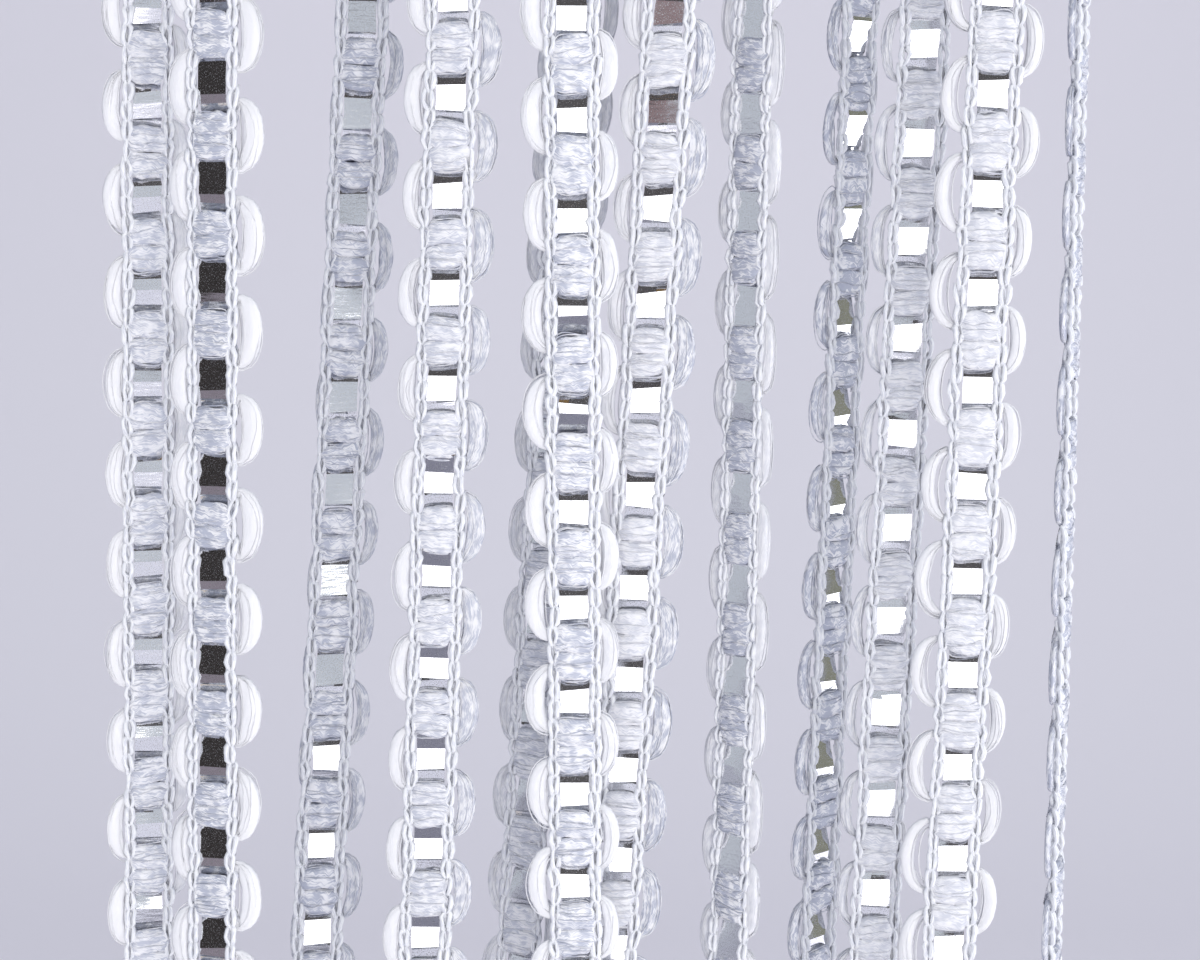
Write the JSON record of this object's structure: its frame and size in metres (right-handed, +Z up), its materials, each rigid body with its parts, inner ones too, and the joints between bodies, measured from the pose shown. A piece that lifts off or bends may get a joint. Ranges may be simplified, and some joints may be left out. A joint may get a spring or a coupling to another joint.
{
  "type": "string curtain",
  "caption": "Cut length of a string curtain: knitted strands with a flat metallised tape and looped edges hang from a gathered woven heading tape.",
  "frame": {"origin": "on the heading tape's top edge, near the middle of its length", "axes": "+X to the right as the curtain is looked at, +Y away from the viewer, +Z up along the strands"},
  "size_m": [0.0483, 0.0108, 0.0732],
  "materials": {
    "polyester_yarn": "glossy white filament yarn, warp knitted",
    "metallised_tape": "bright silver slit film, flat, with sharp creases",
    "woven_tape": "plain woven white polyester band with one row of stitches"
  },
  "bodies": {
    "root": {"strands_on_heading_tape": "polyester_yarn"}
  },
  "joints": []
}
